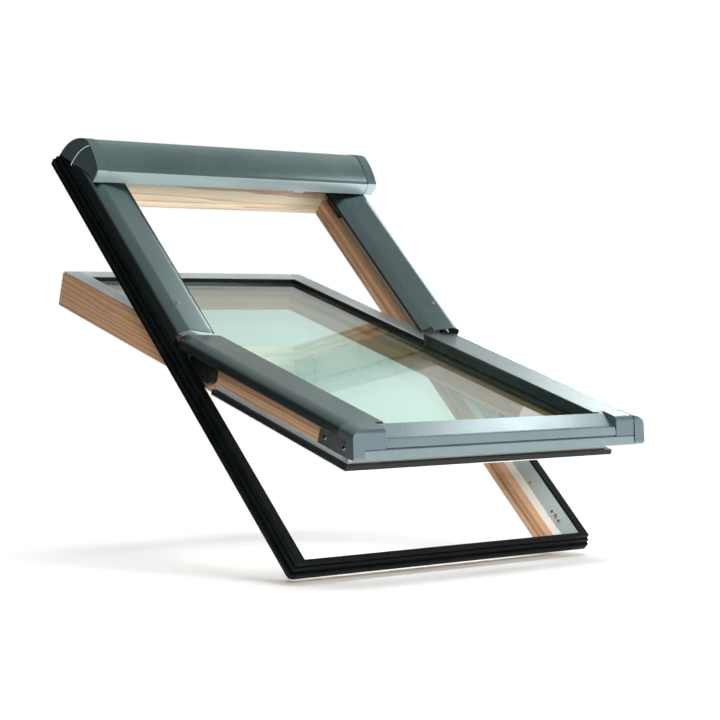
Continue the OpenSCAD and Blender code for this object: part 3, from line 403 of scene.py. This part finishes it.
for row in screwRows:
    whole = bmesh.new()
    for place, way in row["at"]:
        seat = row["turn"] @ Matrix.Translation(place) @ Vector(way).to_track_quat("Z", "Y").to_matrix().to_4x4()
        ring = bmesh.ops.create_circle(whole, cap_ends=True, radius=row["radius"], segments=36)["verts"]
        base = list({face for v in ring for face in v.link_faces})
        crown = bmesh.ops.extrude_face_region(whole, geom=base)["geom"]
        made = set(ring)
        for rise, draw in ((0.55, 0.985), (0.30, 0.90), (0.15, 0.74)):  # side, shoulder and crown of the head
            tops = [v for v in crown if isinstance(v, bmesh.types.BMVert)]
            bmesh.ops.translate(whole, verts=tops, vec=(0, 0, row["height"] * rise))
            bmesh.ops.scale(whole, verts=tops, vec=(draw, draw, 1))
            made.update(tops)
            caps = [f for f in crown if isinstance(f, bmesh.types.BMFace)]
            crown = bmesh.ops.extrude_face_region(whole, geom=caps)["geom"]
        tops = [v for v in crown if isinstance(v, bmesh.types.BMVert)]
        for v in tops:  # six lobes round the driver recess
            lobe = row["radius"] * (0.40 + 0.07 * math.cos(6 * math.atan2(v.co.y, v.co.x)))
            v.co.xy = v.co.xy.normalized() * lobe
        made.update(tops)
        caps = [f for f in crown if isinstance(f, bmesh.types.BMFace)]
        crown = bmesh.ops.extrude_face_region(whole, geom=caps)["geom"]
        tops = [v for v in crown if isinstance(v, bmesh.types.BMVert)]
        bmesh.ops.translate(whole, verts=tops, vec=(0, 0, -row["height"] * 0.7))
        made.update(tops)
        bmesh.ops.transform(whole, matrix=seat, verts=[v for v in made if v.is_valid])
    bmesh.ops.recalc_face_normals(whole, faces=whole.faces)
    mesh = bpy.data.meshes.new(row["name"])
    whole.to_mesh(mesh)
    whole.free()
    mesh.materials.append(screwSteel)
    piece = bpy.data.objects.new(row["name"], mesh)
    scene.collection.objects.link(piece)
    if row["stands"]:
        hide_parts(*row["stands"])
    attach(piece, row["body"])
print("screws:", sum(len(row["at"]) for row in screwRows))

# Studio: pale floor that fades into the white, bright low on the right and behind, dark to the left at the back
studio = {
    "floorZ": cadBox[0].z - 0.0015, "floorRadius": 6.0, "fadeFrom": 0.4, "fadeTo": 1.9, "floor": "#f4f5f4",
    "seen": "#ffffff", "cast": "#f2f7f8", "level": 0.38,
    "regions": [
        {"way": (1.0, 0.0, -0.55), "from": 0.28, "to": 0.75, "adds": 0.85},  # right, low
        {"way": (0.62, 0.78, 0.06), "from": 0.87, "to": 0.98, "adds": 0.5},  # behind the glass
        {"way": (0.58, 0.3, 0.757), "from": 0.9, "to": 0.985, "adds": 0.28},  # above, on the right
        {"way": (0.5, -0.7, 0.5), "from": 0.88, "to": 0.98, "adds": -0.12},  # in front, higher up
        {"way": (-0.6, 0.8, 0.0), "from": 0.4, "to": 0.82, "adds": -0.37},  # left, at the back
    ],
}
mesh = bpy.data.meshes.new("studioFloor")
built = bmesh.new()
bmesh.ops.create_circle(built, cap_ends=True, radius=studio["floorRadius"], segments=96,
                        matrix=Matrix.Translation((0, 0, studio["floorZ"])))
built.to_mesh(mesh)
built.free()
floor = bpy.data.objects.new("studioFloor", mesh)
scene.collection.objects.link(floor)
floorPaint, tree, shader, place = startFinish("matPaleFloor", Base_Color=hexToLinear(studio["floor"]), Roughness=0.85)
reach = addNode(tree, "ShaderNodeVectorMath", {"operation": "LENGTH"}, {0: place})
fade = addNode(tree, "ShaderNodeMapRange", {"interpolation_type": "SMOOTHSTEP"}, {
    "Value": reach.outputs["Value"], "From Min": studio["fadeFrom"], "From Max": studio["fadeTo"],
    "To Min": 1.0, "To Max": 0.0})
tree.links.new(fade.outputs["Result"], shader.inputs["Alpha"])
mesh.materials.append(floorPaint)

world = bpy.data.worlds.new("softStudio")
scene.world = world
world.use_nodes = True
tree = world.node_tree
tree.nodes.clear()
seen = addNode(tree, "ShaderNodeBackground", inputs={"Color": hexToLinear(studio["seen"]), "Strength": 1.0})
way = addNode(tree, "ShaderNodeTexCoord").outputs["Generated"]
strength = studio["level"]
for region in studio["regions"]:
    facing = addNode(tree, "ShaderNodeVectorMath", {"operation": "DOT_PRODUCT"}, {0: way, 1: region["way"]})
    glow = addNode(tree, "ShaderNodeMapRange", {"interpolation_type": "SMOOTHSTEP"}, {
        "Value": facing.outputs["Value"], "From Min": region["from"], "From Max": region["to"],
        "To Max": region["adds"]})
    strength = addNode(tree, "ShaderNodeMath", inputs={0: strength, 1: glow.outputs["Result"]}).outputs["Value"]
cast = addNode(tree, "ShaderNodeBackground", inputs={"Color": hexToLinear(studio["cast"]), "Strength": strength})
rays = addNode(tree, "ShaderNodeLightPath")
mixed = addNode(tree, "ShaderNodeMixShader", inputs={
    0: rays.outputs["Is Camera Ray"], 1: cast.outputs[0], 2: seen.outputs[0]})
addNode(tree, "ShaderNodeOutputWorld", inputs={"Surface": mixed.outputs[0]})

lamps = [
    {"name": "keyRight", "at": (3.35, 2.3, 1.0), "to": (0, 0, 0),
     "size": (2.0, 0.7), "power": 36, "mirrored": True},
    {"name": "stripRight", "at": (2.4, 0.78, 1.75), "to": (0.3, 0, 0),
     "size": (0.6, 1.0), "power": 6, "mirrored": True},
    {"name": "glintRight", "at": (1.0, -0.47, 0.9), "to": (0.05, -0.58, -0.15),
     "size": (0.3, 0.3), "power": 0.9, "mirrored": True},
    {"name": "glintEnd", "at": (1.33, 0.29, 0.6), "to": (0.33, -0.55, -0.12),
     "size": (0.35, 0.35), "power": 0.3, "mirrored": True},
    {"name": "frontLow", "at": (0.9, -4.2, 0.1), "to": (0, 0, 0),
     "size": (3.0, 1.4), "power": 110, "mirrored": False},
    {"name": "fillLeft", "at": (-2.0, -2.6, 0.5), "to": (0.3, 0.1, 0.1),
     "size": (0.8, 0.8), "power": 74, "mirrored": False},
    {"name": "topSoft", "at": (0.1, -0.4, 4.2), "to": (0, 0, 0),
     "size": (3.0, 3.0), "power": 200, "mirrored": False},
]
for lamp in lamps:
    light = bpy.data.lights.new(lamp["name"], "AREA")
    light.shape, light.energy = "RECTANGLE", lamp["power"]
    light.size, light.size_y = lamp["size"]
    holder = bpy.data.objects.new(lamp["name"], light)
    holder.location = lamp["at"]
    holder.rotation_euler = (Vector(lamp["to"]) - Vector(lamp["at"])).to_track_quat("-Z", "Y").to_euler()
    holder.visible_camera, holder.visible_transmission, holder.visible_glossy = False, False, lamp["mirrored"]
    scene.collection.objects.link(holder)

# Camera where the photograph was taken from: level, to the left of the window's lower end
shot = {"at": (-2.49850561, -3.29901201, -0.01650113), "turn": (89.93395, 1.11909, -38.50619), "lens": 98.57526}
camera = bpy.data.objects.new("photoCamera", bpy.data.cameras.new("photoCamera"))
camera.location = shot["at"]
camera.rotation_euler = Euler([math.radians(a) for a in shot["turn"]], "XYZ")
camera.data.lens, camera.data.sensor_width = shot["lens"], 36.0
scene.collection.objects.link(camera)
scene.camera = camera
print("studio and camera set")
